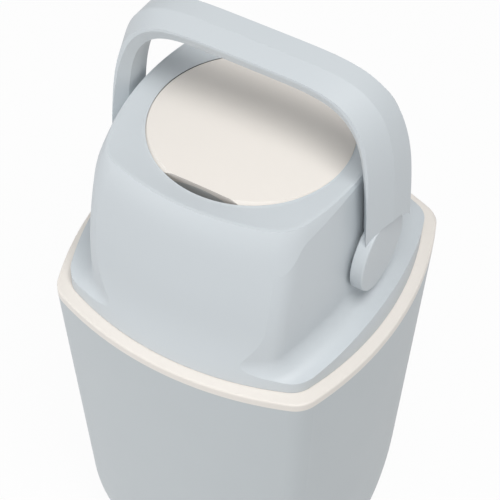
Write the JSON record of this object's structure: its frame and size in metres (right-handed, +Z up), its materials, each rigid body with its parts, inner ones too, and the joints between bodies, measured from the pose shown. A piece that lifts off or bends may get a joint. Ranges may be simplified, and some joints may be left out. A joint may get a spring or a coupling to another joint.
{
  "type": "nappy bin",
  "caption": "Free-standing nappy bin with a rounded square bucket, bag ring, hinged lid, and a drum in the lid that a large handle turns to drop each nappy.",
  "frame": {"origin": "on the floor, under the centre of the bucket, which is the middle of the part's box", "axes": "+Z up, -Y towards the front face, X along the axis the drum and handle turn on"},
  "size_m": [0.2762, 0.2762, 0.5645],
  "materials": {
    "bucket_plastic": "satin",
    "lid_plastic": "satin",
    "handle_plastic": "satin",
    "ring_plastic": "satin",
    "inner_plastic": "satin",
    "bush_plastic": "smooth",
    "seal_rubber": "matte",
    "foot_rubber": "matte",
    "steel": "zinc plated"
  },
  "bodies": {
    "bucket": {"bucket": "bucket_plastic", "rubber_feet": "foot_rubber"},
    "bag_ring": {"bag_ring": "ring_plastic", "hinge_pin": "steel"},
    "lid": {"lid_shell": "lid_plastic", "lid_base": "inner_plastic", "lid_gasket": "seal_rubber", "base_screws": "steel", "upper_seal": "seal_rubber", "lower_seal": "seal_rubber", "bush_left": "bush_plastic", "bush_right": "bush_plastic"},
    "drum": {"drum_shell_upper": "ring_plastic", "drum_shell_lower": "ring_plastic", "bore_liner": "inner_plastic", "mouth_ring_front": "inner_plastic", "mouth_ring_back": "inner_plastic", "drum_studs": "steel", "hub_left": "inner_plastic", "hub_right": "inner_plastic", "hub_screws": "steel", "handle_screws": "steel", "handle": "handle_plastic"},
    "piston": {"piston_cup_front": "ring_plastic", "piston_cup_back": "ring_plastic", "piston_weight": "steel", "piston_wipers": "seal_rubber", "piston_pins": "steel"}
  },
  "joints": [
    {"name": "ring_lift", "type": "slide", "parent": "bucket", "child": "bag_ring", "axis": [0, 0, 1], "range_m": [0, 0.06]},
    {"name": "lid_hinge", "type": "hinge", "parent": "bag_ring", "child": "lid", "pos_m": [0, 0.1332, 0.3421], "axis": [-1, 0, 0], "range_deg": [0, 100]},
    {"name": "drum_turn", "type": "hinge", "parent": "lid", "child": "drum", "pos_m": [0, 0, 0.4065], "axis": [1, 0, 0], "range_deg": [-90, 90]},
    {"name": "piston_slide", "type": "slide", "parent": "drum", "child": "piston", "axis": [0, 1, 0], "range_m": [0, 0.1161]}
  ]
}
